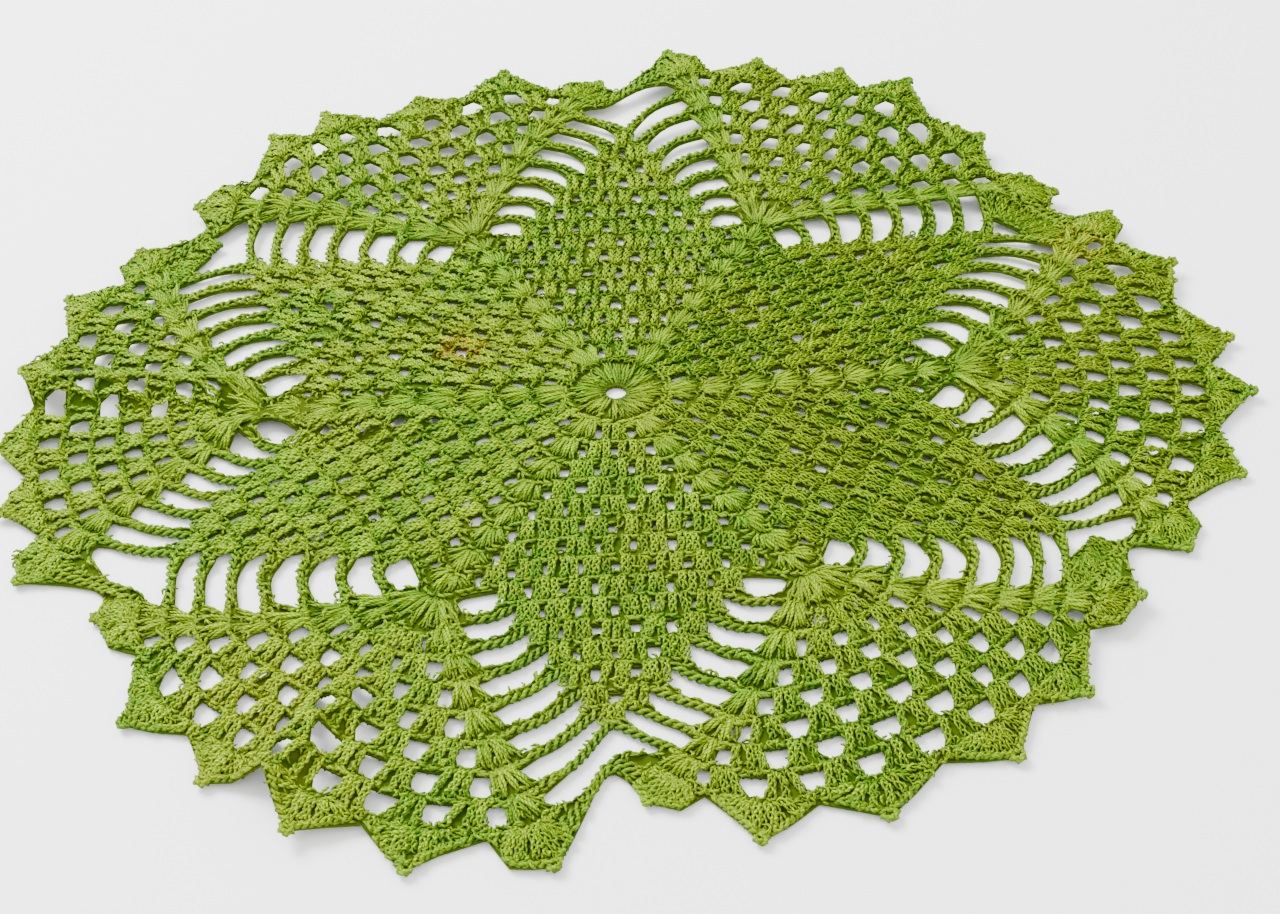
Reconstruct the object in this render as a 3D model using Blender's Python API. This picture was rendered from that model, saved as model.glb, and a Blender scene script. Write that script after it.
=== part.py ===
"""A round crochet placemat, lying on a table: one openwork cloth of 18 rounds, in metres, +Z up.

Rounds 1 to 9 make a six-sided middle. From there six mesh arms narrow to a point, and
six fans of mesh widen to a scalloped rim. Chain bars join each arm to the fans beside it.
"""
import bmesh
import bpy
from math import atan2, cos, degrees, hypot, pi, radians, sin

# Driving sizes, in metres
THICKNESS = 0.0026          # a double crochet fabric in a medium cotton
CENTRE_HOLE = 0.0031        # radius of the ring in the middle
FIRST_ROUND = 0.0159        # radius of the first round's top edge
ARM_ROUND = 0.00795         # height of a round on an arm's axis
SPOKE_ROUND = 0.01114       # height of a round on a spoke
BLOCK = 0.00965             # width of a block of three stitches and its gap
SPLIT = 0.105               # where a spoke parts into the two bands of a fan
BAND_SIDE = 0.00785         # how far a band goes sideways with each round
BAND_OUT = 0.0068           # how far it goes outward
BAND_BEND = 0.0001          # and how much less with each round after that
BAND_HALF = 0.0085          # half the width of a band's shells
FAN_START = 0.118           # top edge of round 10 on a fan's axis
FAN_ROUND = 0.0067          # height of a round there
FAN_SWELL = 0.0002          # and how much more with each round after that
BAND_CLEAR = 0.0072         # from a band's middle to the outer gap of a fan
FIRST_GAP = 0.0021          # sideways place of the gap in round 10
ARM_CORNER = 0.12           # an arm's last post beyond its block's middle, in blocks
ARM_PROUD = 0.0005          # the bars pull an arm's corners up by this
STRAND_HALF = 0.0029        # half the width of the strand across an arm's tip
TIP = 0.160                 # the middle of that strand
POINT_RISE = 0.0115         # a rim point above the last round of the mesh
VALLEY_RISE = 0.0022        # the edging between two points

MIDDLE_ROUNDS = 9
MESH_ROUNDS = 17
FIRST_CUT_ROUND = 14        # gaps of the fans are over 4 mm from this round on
ARMS = (90, 30, -30, -90, -150, 150)
FANS = (0, 60, 120, 180, -120, -60)
TURN = -2.55                # how far the whole pattern is turned, in degrees
SHIFT = (-0.00176, -0.00685)  # puts the middle of the mat's box on the origin

# The six rim points of a fan on an even mat: degrees from its axis, and reach
EVEN_POINTS = ((-25.0, 0.1772), (-13.8, 0.1823), (-4.5, 0.1859), (4.5, 0.1859), (13.8, 0.1823), (25.0, 0.1772))

# How the rim really lies. Each row is a fan, and its six points go anticlockwise.
# A point is (degrees from the fan's axis, reach in mm, lift off the table in mm).
RIM = {
    0: ((-25.3, 171.9, 0), (-13.9, 181.1, 0), (-2.6, 186.3, 1),
         (5.4, 185.4, 1), (17.4, 182.5, 2), (27.4, 178.5, 4)),
    60: ((-26.4, 171.5, 4), (-13.8, 177.0, 5), (-1.7, 191.1, 7),
          (5.9, 189.1, 6), (15.2, 189.1, 5), (25.4, 191.1, 5)),
    120: ((-27.0, 173.0, 4), (-16.3, 185.0, 5), (-6.0, 181.8, 3),
           (4.6, 185.7, 6), (11.2, 185.6, 5), (24.8, 174.3, 3)),
    180: ((-26.4, 176.2, 1), (-16.4, 183.0, 2), (-4.3, 181.7, 3),
           (6.7, 182.5, 2), (15.7, 180.4, 1), (25.2, 179.2, 0)),
    -120: ((-26.5, 165.1, 0), (-13.5, 178.0, 0), (-3.6, 178.9, 0),
            (5.7, 182.9, 3), (15.3, 182.9, 0), (26.5, 176.9, 0)),
    -60: ((-26.3, 158.0, 0), (-17.6, 174.0, 0), (-7.3, 177.1, 0),
           (4.7, 177.3, 0), (13.8, 174.5, 1), (26.2, 167.7, 3)),
}
# The strands across the arms' tips in the same way
TIPS = {90: (-0.3, 168.5, 3), 30: (0.4, 162.5, 2), -30: (2.5, 155.5, 1), -90: (0.1, 147.2, 0),
        -150: (-0.5, 159.2, 0), 150: (-2.3, 161.5, 1)}
# How much of the gap inside each strand is open, on its clockwise and its anticlockwise side.
# The fans' corner shells lie over the rest.
TIP_OPEN = {90: (1.0, 1.0), 30: (0.45, 0.45), -30: (0.5, 1.0), -90: (1.0, 0.8), -150: (0.9, 1.0), 150: (1.0, 0.7)}

# The same for a ring further in: the last gap of each arm and the foot of each fan.
# A row is (bearing on the even mat, even reach in mm, turn in degrees, real reach in mm).
INNER = (
    (0, 105, 3.8, 103), (30, 123, 2.8, 128), (60, 105, 2.0, 99), (90, 123, 0.0, 131),
    (120, 105, 1.0, 99), (150, 123, 0.8, 128), (180, 105, 3.0, 108), (210, 123, -1.4, 126),
    (240, 105, 1.4, 100), (270, 123, 1.0, 124), (300, 105, 3.7, 98), (330, 123, 2.0, 129),
)

# The main folds: ends in plan in mm, height and half width in mm
FOLDS = (
    {"name": "left fan crease", "start": (-100, 1), "end": (-188, 3), "height": 6.5, "half": 10},
    {"name": "left arm crease", "start": (-42, -17), "end": (-112, -17), "height": 3.6, "half": 8},
    {"name": "lower fan pinch", "start": (-66, -115), "end": (-96, -164), "height": 6.0, "half": 10},
    {"name": "upper right arm crease", "start": (48, 73), "end": (118, 79), "height": 3.0, "half": 7},
    {"name": "right waves, near", "start": (40, -14), "end": (98, -30), "height": 1.6, "half": 7},
    {"name": "right waves, far", "start": (36, -26), "end": (92, -48), "height": 1.4, "half": 6},
    {"name": "left waves", "start": (-32, 26), "end": (-92, 46), "height": 1.5, "half": 7},
    {"name": "right rim corner", "start": (126, -92), "end": (152, -98), "height": 4.0, "half": 10},
)


def smooth(t):
    t = min(max(t, 0.0), 1.0)
    return t * t * (3 - 2 * t)


def place(side, out, bearing):
    """A point given across and along an arm's or fan's axis, in the plan of the even mat."""
    a = radians(bearing)
    return out * cos(a) + side * sin(a), out * sin(a) - side * cos(a)


# Rows of the even pattern

def arm_top(r, side):
    """Top edge of round r in an arm's sector: it bends outward towards the spokes."""
    inner = min(r, MIDDLE_ROUNDS)
    spoke = FIRST_ROUND + SPOKE_ROUND * (inner - 1)
    bend = spoke * cos(pi / 6) - FIRST_ROUND - ARM_ROUND * (inner - 1)
    ease = 1.0 - 0.4 * max(r - MIDDLE_ROUNDS, 0) / 7
    return FIRST_ROUND + ARM_ROUND * (r - 1) + ease * bend * (side / (spoke * sin(pi / 6))) ** 2


def band_base(r):
    """Where round r's shell of a band is worked, on the anticlockwise side of a fan's axis."""
    k = r - MIDDLE_ROUNDS - 1
    return BAND_SIDE * k, SPLIT + BAND_OUT * k - BAND_BEND * k * k


def band_edge(r):
    """The outer top corner of round r's shell, where its chain bar starts."""
    base, top = band_base(r), band_base(r + 1)
    length = hypot(top[0] - base[0], top[1] - base[1])
    across = ((top[1] - base[1]) / length, (base[0] - top[0]) / length)
    return top[0] + BAND_HALF * across[0], top[1] + BAND_HALF * across[1]


def fan_top(r, side):
    """Top edge of round r of a fan: it bends back towards the bands."""
    k = r - MIDDLE_ROUNDS - 1
    out = FAN_START + FAN_ROUND * k + FAN_SWELL * k * k
    corner = band_base(r + 1)
    return out - (out - corner[1]) * (side / corner[0]) ** 2


def fan_pitch(r):
    """From one gap of round r to the next, at the round's top edge."""
    reach = max(band_base(r + 1)[0] - BAND_CLEAR, FIRST_GAP)
    return 2 * reach / (r - MIDDLE_ROUNDS)


def fan_point(r, q, h):
    """A point of round r, q gaps from the fan's axis and h of the way up the round."""
    side = q * ((1 - h) * fan_pitch(r - 1) + h * fan_pitch(r))
    return side, (1 - h) * fan_top(r - 1, side) + h * fan_top(r, side)


# The mat as it lies

def rim_rows():
    """(bearing, even reach, turn in degrees, real reach, lift) at each rim point and tip, in mm."""
    rows = []
    for fan, points in RIM.items():
        for (even, reach), (bearing, real, lift) in zip(EVEN_POINTS, points):
            rows.append(((fan + even) % 360, reach * 1000, bearing - even, real, lift))
    for arm, (turn, real, lift) in TIPS.items():
        rows.append((arm % 360, TIP * 1000, turn, real, lift))
    return sorted(rows)


RIM_ROWS = rim_rows()


def ring_at(rows, bearing):
    """The columns of a ring's rows at any bearing, on a smooth curve through the rows."""
    count = len(rows)
    after = next((i for i, row in enumerate(rows) if row[0] > bearing), count)
    near = []
    for step in (-2, -1, 0, 1):
        i = after + step
        near.append((rows[i % count][0] + 360 * (i // count),) + rows[i % count][1:])
    a, b, c, d = near
    t = (bearing - b[0]) / (c[0] - b[0])
    found = []
    for n in range(1, len(a)):
        leave = (c[n] - a[n]) / (c[0] - a[0]) * (c[0] - b[0])
        arrive = (d[n] - b[n]) / (d[0] - b[0]) * (c[0] - b[0])
        found.append((2 * t**3 - 3 * t**2 + 1) * b[n] + (t**3 - 2 * t**2 + t) * leave
                     + (3 * t**2 - 2 * t**3) * c[n] + (t**3 - t**2) * arrive)
    return found


LIFT_START, LIFT_END = 0.115, 0.180
FOLD_FADE = 0.020                       # a fold runs out over this length at its start


def lay(point):
    """Moves a point of the even pattern to where it lies in plan."""
    radius = hypot(*point) * 1000
    bearing = degrees(atan2(point[1], point[0])) % 360
    ring, ring_turn, ring_real = ring_at(INNER, bearing)
    if radius < ring:
        share = radius / ring
        turn = ring_turn * (2 - share) * share
        real = radius * (1 + (ring_real / ring - 1) * share)
    else:
        rim, rim_turn, rim_real, _ = ring_at(RIM_ROWS, bearing)
        share = (radius - ring) / (rim - ring)
        turn = ring_turn + (rim_turn - ring_turn) * min(share, 1)
        real = ring_real + (rim_real - ring_real) * share
    angle = radians(bearing + turn + TURN)
    return real / 1000 * cos(angle) + SHIFT[0], real / 1000 * sin(angle) + SHIFT[1]


def fold_height(x, y):
    """How high the folds raise the cloth at a place in plan."""
    height = 0.0
    for fold in FOLDS:
        ax, ay = (v / 1000 for v in fold["start"])
        bx, by = (v / 1000 for v in fold["end"])
        length = hypot(bx - ax, by - ay)
        along = ((x - ax) * (bx - ax) + (y - ay) * (by - ay)) / length
        across = abs((x - ax) * (by - ay) - (y - ay) * (bx - ax)) / length
        inside = smooth(along / FOLD_FADE) * smooth((length + FOLD_FADE - along) / FOLD_FADE)
        height = max(height, fold["height"] / 1000 * inside * smooth(1 - across * 1000 / fold["half"]))
    return height


def cloth_height(x, y):
    """Underside of the cloth above the table: flat, but for the lifted rim and the folds."""
    dx, dy = x - SHIFT[0], y - SHIFT[1]
    lift = max(ring_at(RIM_ROWS, (degrees(atan2(dy, dx)) - TURN) % 360)[3] / 1000, 0.0)
    return lift * smooth((hypot(dx, dy) - LIFT_START) / (LIFT_END - LIFT_START)) + fold_height(x, y)


# Gaps that are cut through

def arm_corner(r, side):
    """The outer top corner of an arm's round r, where its chain bar ends."""
    x = ((MESH_ROUNDS - 1 - r) / 2 + ARM_CORNER) * BLOCK
    return side * x, arm_top(r, x) + ARM_PROUD


def between(a, b, t):
    return tuple(p + (q - p) * t for p, q in zip(a, b))


def bar_gap(arm, r, side):
    """The gap under round r's chain bar, between an arm and the band beside it."""
    fan = arm + side * -30

    def on_arm(p):
        return place(p[0], p[1], arm)

    def on_band(p):
        return place(-side * p[0], p[1], fan)

    foot_side = (MESH_ROUNDS - 1 - r) / 2 * BLOCK + 0.25 * BLOCK
    foot = on_arm((side * foot_side, arm_top(r - 1, foot_side) + 0.0016))
    bar_in, bar_out = on_arm(arm_corner(r, side)), on_band(band_edge(r))
    base = band_base(r)
    notch = on_band((base[0] + 0.0040, base[1] - 0.0031))
    if r == MIDDLE_ROUNDS + 1:
        lower = [on_band((base[0] + 0.0052, base[1] - 0.0044))]
    else:
        lower = [on_band(band_edge(r - 1)), on_arm(arm_corner(r - 1, side))]
        lower = [between(lower[0], bar_out, 0.11), notch][::-1] + [between(lower[1], bar_in, 0.16)]
    top_out = between(bar_out, notch, 0.20)
    top_in = between(bar_in, foot, 0.22)
    return [foot, top_in, top_out] + lower


def tip_gap(arm):
    """The gap between the last two bars of an arm and the strand across its tip."""
    foot = (0.0, arm_top(16, 0) + 0.0016)
    edge = ((0.0185, 0.1541), (0.0178, 0.1562), (0.0150, 0.1576), (0.0075, 0.1577))
    after, before = TIP_OPEN[arm]
    tip = between(foot, (0.0, TIP - STRAND_HALF), max(after, before))
    loop = [foot] + [between(foot, p, after) for p in edge] + [tip]
    loop += [between(foot, (-x, y), before) for x, y in edge[::-1]]
    return [place(x, y, arm) for x, y in loop]


GAP_SHAPE = ((-0.27, 0.12), (0.27, 0.12), (0.27, 0.46), (0.12, 0.84), (-0.12, 0.84), (-0.27, 0.46))


def fan_gap(fan, r, i):
    """Gap i of a fan's round r, under the chain that joins two blocks."""
    q = i - (r - MIDDLE_ROUNDS) / 2
    return [place(*fan_point(r, q + dq, h), fan) for dq, h in GAP_SHAPE]


def gaps():
    found = [[(CENTRE_HOLE * cos(k * pi / 4), CENTRE_HOLE * sin(k * pi / 4)) for k in range(8)]]
    for arm in ARMS:
        found.append(tip_gap(arm))
        for side in (-1, 1):
            found += [bar_gap(arm, r, side) for r in range(MIDDLE_ROUNDS + 1, MESH_ROUNDS)]
    for fan in FANS:
        for r in range(FIRST_CUT_ROUND, MESH_ROUNDS + 1):
            found += [fan_gap(fan, r, i) for i in range(r - MIDDLE_ROUNDS + 1)]
    return found


# The rim

def half_rim():
    """The rim from a fan's axis to the tip of the arm on its anticlockwise side, in the fan's frame."""
    rim = []
    last = MESH_ROUNDS
    points = {1: EVEN_POINTS[3], 3: EVEN_POINTS[4]}
    for valley, point in ((0, 1), (2, 3)):
        for q in (valley, point):
            side, out = fan_point(last, q, 1)
            if q == valley:
                rim.append((side, out + VALLEY_RISE))
            else:
                bearing, reach = points[q]
                tip = (reach * sin(radians(bearing)), reach * cos(radians(bearing)))
                for dq in (-0.45, 0, 0.45):
                    flank, under = fan_point(last, q + dq, 1)
                    rim.append(tip if dq == 0 else (flank, under + 0.65 * POINT_RISE))
    side, out = fan_point(last, 4, 1)
    rim.append((side, out + VALLEY_RISE))
    bearing, reach = EVEN_POINTS[5]
    corner = (reach * sin(radians(bearing)), reach * cos(radians(bearing)))
    rim += [(corner[0] - 0.0105, corner[1] + 0.0040), corner, (corner[0] + 0.0012, corner[1] - 0.0068)]
    for side, out in ((0.0076, 0.1674), (0.0038, 0.1645), (0.0, TIP + STRAND_HALF)):
        a = radians(30)
        rim.append((out * sin(a) - side * cos(a), out * cos(a) + side * sin(a)))
    return rim


def outline():
    found = []
    half = half_rim()
    for fan in sorted(FANS):
        found += [place(x, y, fan) for x, y in half[:0:-1]]
        found += [place(-x, y, fan) for x, y in half[:-1]]
    return found


# Building the solid

LONG_EDGE = 0.016           # longer edges are split, so that the folds have points to follow


def flat_cloth(name):
    """The outline with its gaps, filled by a flat curve, as one layer of faces."""
    curve = bpy.data.curves.new(name, "CURVE")
    curve.dimensions = "2D"
    curve.fill_mode = "BOTH"
    for loop in [outline()] + gaps():
        spline = curve.splines.new("POLY")
        spline.points.add(len(loop) - 1)
        for point, at in zip(spline.points, loop):
            point.co = (*lay(at), 0, 1)
        spline.use_cyclic_u = True
    drawn = bpy.data.objects.new(name, curve)
    bpy.context.scene.collection.objects.link(drawn)
    bpy.context.view_layer.update()
    mesh = bpy.data.meshes.new_from_object(drawn.evaluated_get(bpy.context.evaluated_depsgraph_get()))
    bpy.data.objects.remove(drawn)
    mesh.name = name
    return mesh


def split_long_edges(bm):
    """Splits long edges inside the cloth until all are short, and evens the triangles out."""
    for _ in range(4):
        bmesh.ops.triangulate(bm, faces=bm.faces[:])
        long = [e for e in bm.edges if e.calc_length() > LONG_EDGE and not e.is_boundary]
        if long:
            bmesh.ops.subdivide_edges(bm, edges=long, cuts=1)
        bmesh.ops.triangulate(bm, faces=bm.faces[:])
        inner = [e for e in bm.edges if not e.is_boundary]
        bmesh.ops.beautify_fill(bm, faces=bm.faces[:], edges=inner)


def raise_folds(bm):
    for vertex in bm.verts:
        vertex.co.z = cloth_height(vertex.co.x, vertex.co.y)


def thicken(bm):
    """Gives the one layer its thickness, straight up."""
    grown = bmesh.ops.extrude_face_region(bm, geom=bm.faces[:])["geom"]
    top = [v for v in grown if isinstance(v, bmesh.types.BMVert)]
    bmesh.ops.translate(bm, verts=top, vec=(0, 0, THICKNESS))
    bmesh.ops.recalc_face_normals(bm, faces=bm.faces[:])


def yarn_material():
    material = bpy.data.materials.new("lime_cotton_yarn")
    material.use_nodes = True
    shader = material.node_tree.nodes["Principled BSDF"]
    shader.inputs["Base Color"].default_value = (0.33, 0.47, 0.06, 1)
    shader.inputs["Roughness"].default_value = 0.75
    shader.inputs["Metallic"].default_value = 0.0
    return material


def build_mat(collection):
    mesh = flat_cloth("mat")
    bm = bmesh.new()
    bm.from_mesh(mesh)
    bmesh.ops.remove_doubles(bm, verts=bm.verts[:], dist=0.00002)
    split_long_edges(bm)
    raise_folds(bm)
    thicken(bm)
    bm.to_mesh(mesh)
    bm.free()
    mesh.materials.clear()
    mesh.materials.append(yarn_material())
    collection.objects.link(bpy.data.objects.new("mat", mesh))


def main():
    for thing in list(bpy.data.objects):
        bpy.data.objects.remove(thing)
    collection = bpy.data.collections.new("Crochet_placemat")
    bpy.context.scene.collection.children.link(collection)
    build_mat(collection)


main()
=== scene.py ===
from math import atan2, ceil, cos, degrees, hypot, pi, radians, sin

import bmesh
import bpy
import numpy as np
from mathutils import Matrix, Vector


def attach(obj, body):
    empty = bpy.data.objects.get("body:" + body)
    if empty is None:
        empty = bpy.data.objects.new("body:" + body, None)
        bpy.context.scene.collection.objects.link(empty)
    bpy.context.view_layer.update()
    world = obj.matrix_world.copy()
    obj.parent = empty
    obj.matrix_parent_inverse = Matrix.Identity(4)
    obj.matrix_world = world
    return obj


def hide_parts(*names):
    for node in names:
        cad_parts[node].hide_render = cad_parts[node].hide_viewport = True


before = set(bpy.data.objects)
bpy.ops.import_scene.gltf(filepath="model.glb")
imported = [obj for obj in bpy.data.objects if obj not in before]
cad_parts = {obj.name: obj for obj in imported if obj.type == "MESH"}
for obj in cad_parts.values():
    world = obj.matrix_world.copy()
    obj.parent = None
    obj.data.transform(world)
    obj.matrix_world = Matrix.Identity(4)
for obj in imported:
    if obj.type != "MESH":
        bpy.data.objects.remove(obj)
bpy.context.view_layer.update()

# Sizes of the even pattern, in metres
CENTRE_HOLE = 0.0031  # radius of the ring in the middle
FIRST_ROUND = 0.0159  # radius of the first round's top edge
ARM_ROUND = 0.00795  # height of a round on an arm's axis
SPOKE_ROUND = 0.01114  # height of a round on a spoke
BLOCK = 0.00965  # width of a block of three stitches and its gap
SPLIT = 0.105  # where a spoke parts into the two bands of a fan
BAND_SIDE = 0.00785  # how far a band goes sideways with each round
BAND_OUT = 0.0068  # how far it goes outward
BAND_BEND = 0.0001  # and how much less with each round after that
BAND_HALF = 0.0085  # half the width of a band's shells
FAN_START = 0.118  # top edge of round 10 on a fan's axis
FAN_ROUND = 0.0067  # height of a round there
FAN_SWELL = 0.0002  # and how much more with each round after that
BAND_CLEAR = 0.0072  # from a band's middle to the outer gap of a fan
FIRST_GAP = 0.0021  # sideways place of the gap in round 10
ARM_CORNER = 0.12  # an arm's last post beyond its block's middle, in blocks
ARM_PROUD = 0.0005  # the bars pull an arm's corners up by this
STRAND_HALF = 0.0029  # half the width of the strand across an arm's tip
TIP = 0.160  # the middle of that strand
GAP_RISE = 0.0016  # from the round below to the foot of a gap
POINT_RISE = 0.0115  # a rim point above the last round of the mesh
FLANK, FLANK_RISE = 0.45, 0.65 * POINT_RISE  # beside a rim point, in gaps, and how high there
VALLEY_RISE = 0.0022  # the edging between two points

MIDDLE_ROUNDS = 9
MESH_ROUNDS = 17
ARMS = (90, 30, -30, -90, -150, 150)
FANS = (0, 60, 120, 180, -120, -60)
TURN = -2.55  # how far the whole pattern is turned, in degrees
SHIFT = (-0.00176, -0.00685)  # puts the middle of the mat's box on the origin

# The six rim points of a fan on an even mat: degrees from its axis, and reach
EVEN_POINTS = ((-25.0, 0.1772), (-13.8, 0.1823), (-4.5, 0.1859),
               (4.5, 0.1859), (13.8, 0.1823), (25.0, 0.1772))

# How the rim really lies. Each row is a fan, and its six points go anticlockwise.
# A point is (degrees from the fan's axis, reach in mm, lift off the table in mm).
RIM = {
    0: ((-25.3, 171.9, 0), (-13.9, 181.1, 0), (-2.6, 186.3, 1),
         (5.4, 185.4, 1), (17.4, 182.5, 2), (27.4, 178.5, 4)),
    60: ((-26.4, 171.5, 4), (-13.8, 177.0, 5), (-1.7, 191.1, 7),
          (5.9, 189.1, 6), (15.2, 189.1, 5), (25.4, 191.1, 5)),
    120: ((-27.0, 173.0, 4), (-16.3, 185.0, 5), (-6.0, 181.8, 3),
           (4.6, 185.7, 6), (11.2, 185.6, 5), (24.8, 174.3, 3)),
    180: ((-26.4, 176.2, 1), (-16.4, 183.0, 2), (-4.3, 181.7, 3),
           (6.7, 182.5, 2), (15.7, 180.4, 1), (25.2, 179.2, 0)),
    -120: ((-26.5, 165.1, 0), (-13.5, 178.0, 0), (-3.6, 178.9, 0),
            (5.7, 182.9, 3), (15.3, 182.9, 0), (26.5, 176.9, 0)),
    -60: ((-26.3, 158.0, 0), (-17.6, 174.0, 0), (-7.3, 177.1, 0),
           (4.7, 177.3, 0), (13.8, 174.5, 1), (26.2, 167.7, 3)),
}
# The strands across the arms' tips in the same way
TIPS = {90: (-0.3, 168.5, 3), 30: (0.4, 162.5, 2), -30: (2.5, 155.5, 1), -90: (0.1, 147.2, 0),
        -150: (-0.5, 159.2, 0), 150: (-2.3, 161.5, 1)}
# How much of the gap inside each strand is open, on its clockwise and its anticlockwise side.
# The fans' corner shells lie over the rest.
TIP_OPEN = {90: (1.0, 1.0), 30: (0.45, 0.45), -30: (0.5, 1.0), -90: (1.0, 0.8),
            -150: (0.9, 1.0), 150: (1.0, 0.7)}

# The same for a ring further in: the last gap of each arm and the foot of each fan.
# A row is (bearing on the even mat, even reach in mm, turn in degrees, real reach in mm).
INNER = (
    (0, 105, 3.8, 103), (30, 123, 2.8, 128), (60, 105, 2.0, 99), (90, 123, 0.0, 131),
    (120, 105, 1.0, 99), (150, 123, 0.8, 128), (180, 105, 3.0, 108), (210, 123, -1.4, 126),
    (240, 105, 1.4, 100), (270, 123, 1.0, 124), (300, 105, 3.7, 98), (330, 123, 2.0, 129),
)

# The main folds: where each starts and ends in plan, its height and its half width, in mm
FOLDS = (
    ((-100, 1), (-188, 3), 6.5, 10),  # left fan crease
    ((-42, -17), (-112, -17), 3.6, 8),  # left arm crease
    ((-66, -115), (-96, -164), 6.0, 10),  # lower fan pinch
    ((48, 73), (118, 79), 3.0, 7),  # upper right arm crease
    ((40, -14), (98, -30), 1.6, 7),  # right waves, near
    ((36, -26), (92, -48), 1.4, 6),  # right waves, far
    ((-32, 26), (-92, 46), 1.5, 7),  # left waves
    ((126, -92), (152, -98), 4.0, 10),  # right rim corner
)


def smooth(t):
    t = min(max(t, 0.0), 1.0)
    return t * t * (3 - 2 * t)


def distance(a, b):
    return hypot(b[0] - a[0], b[1] - a[1])


def between(a, b, t):
    return tuple(p + (q - p) * t for p, q in zip(a, b))


def place(side, out, bearing):
    """A point given across and along an arm's or fan's axis, in the plan of the even mat."""
    a = radians(bearing)
    return out * cos(a) + side * sin(a), out * sin(a) - side * cos(a)


# Rows of the even pattern

def arm_top(r, side):
    """Top edge of round r in an arm's sector: it bends outward towards the spokes."""
    inner = min(r, MIDDLE_ROUNDS)
    spoke = FIRST_ROUND + SPOKE_ROUND * (inner - 1)
    bend = spoke * cos(pi / 6) - FIRST_ROUND - ARM_ROUND * (inner - 1)
    ease = 1.0 - 0.4 * max(r - MIDDLE_ROUNDS, 0) / 7
    return FIRST_ROUND + ARM_ROUND * (r - 1) + ease * bend * (side / (spoke * sin(pi / 6))) ** 2


def band_base(r):
    """Where round r's shell of a band is worked, on the anticlockwise side of a fan's axis."""
    k = r - MIDDLE_ROUNDS - 1
    return BAND_SIDE * k, SPLIT + BAND_OUT * k - BAND_BEND * k * k


def band_edge(r):
    """The outer top corner of round r's shell, where its chain bar starts."""
    base, top = band_base(r), band_base(r + 1)
    length = distance(base, top)
    across = ((top[1] - base[1]) / length, (base[0] - top[0]) / length)
    return top[0] + BAND_HALF * across[0], top[1] + BAND_HALF * across[1]


def fan_top(r, side):
    """Top edge of round r of a fan: it bends back towards the bands."""
    k = r - MIDDLE_ROUNDS - 1
    out = FAN_START + FAN_ROUND * k + FAN_SWELL * k * k
    corner = band_base(r + 1)
    return out - (out - corner[1]) * (side / corner[0]) ** 2


def fan_pitch(r):
    """From one gap of round r to the next, at the round's top edge."""
    reach = max(band_base(r + 1)[0] - BAND_CLEAR, FIRST_GAP)
    return 2 * reach / (r - MIDDLE_ROUNDS)


def fan_point(r, q, h):
    """A point of round r, q gaps from the fan's axis and h of the way up the round."""
    side = q * ((1 - h) * fan_pitch(r - 1) + h * fan_pitch(r))
    return side, (1 - h) * fan_top(r - 1, side) + h * fan_top(r, side)


# The mat as it lies

def rim_rows():
    """(bearing, even reach, turn in degrees, real reach, lift) at each rim point and tip, in mm."""
    rows = []
    for fan, points in RIM.items():
        for (even, reach), (bearing, real, lift) in zip(EVEN_POINTS, points):
            rows.append(((fan + even) % 360, reach * 1000, bearing - even, real, lift))
    for arm, (turn, real, lift) in TIPS.items():
        rows.append((arm % 360, TIP * 1000, turn, real, lift))
    return sorted(rows)


RIM_ROWS = rim_rows()


def ring_at(rows, bearing):
    """The columns of a ring's rows at any bearing, on a smooth curve through the rows."""
    count = len(rows)
    after = next((i for i, row in enumerate(rows) if row[0] > bearing), count)
    near = []
    for step in (-2, -1, 0, 1):
        i = after + step
        near.append((rows[i % count][0] + 360 * (i // count),) + rows[i % count][1:])
    a, b, c, d = near
    t = (bearing - b[0]) / (c[0] - b[0])
    found = []
    for n in range(1, len(a)):
        leave = (c[n] - a[n]) / (c[0] - a[0]) * (c[0] - b[0])
        arrive = (d[n] - b[n]) / (d[0] - b[0]) * (c[0] - b[0])
        found.append((2 * t**3 - 3 * t**2 + 1) * b[n] + (t**3 - 2 * t**2 + t) * leave
                     + (3 * t**2 - 2 * t**3) * c[n] + (t**3 - t**2) * arrive)
    return found


LIFT_START, LIFT_END = 0.115, 0.180
FOLD_FADE = 0.020  # a fold runs out over this length at its start


def lay(point):
    """Moves a point of the even pattern to where it lies in plan."""
    radius = hypot(*point) * 1000
    bearing = degrees(atan2(point[1], point[0])) % 360
    ring, ring_turn, ring_real = ring_at(INNER, bearing)
    if radius < ring:
        share = radius / ring
        turn = ring_turn * (2 - share) * share
        real = radius * (1 + (ring_real / ring - 1) * share)
    else:
        rim, rim_turn, rim_real, _ = ring_at(RIM_ROWS, bearing)
        share = (radius - ring) / (rim - ring)
        turn = ring_turn + (rim_turn - ring_turn) * min(share, 1)
        real = ring_real + (rim_real - ring_real) * share
    angle = radians(bearing + turn + TURN)
    return real / 1000 * cos(angle) + SHIFT[0], real / 1000 * sin(angle) + SHIFT[1]


def fold_height(x, y):
    """How high the folds raise the cloth at a place in plan."""
    height = 0.0
    for start, end, high, half in FOLDS:
        ax, ay = (v / 1000 for v in start)
        bx, by = (v / 1000 for v in end)
        length = hypot(bx - ax, by - ay)
        along = ((x - ax) * (bx - ax) + (y - ay) * (by - ay)) / length
        across = abs((x - ax) * (by - ay) - (y - ay) * (bx - ax)) / length
        inside = smooth(along / FOLD_FADE) * smooth((length + FOLD_FADE - along) / FOLD_FADE)
        height = max(height, high / 1000 * inside * smooth(1 - across * 1000 / half))
    return height


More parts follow.
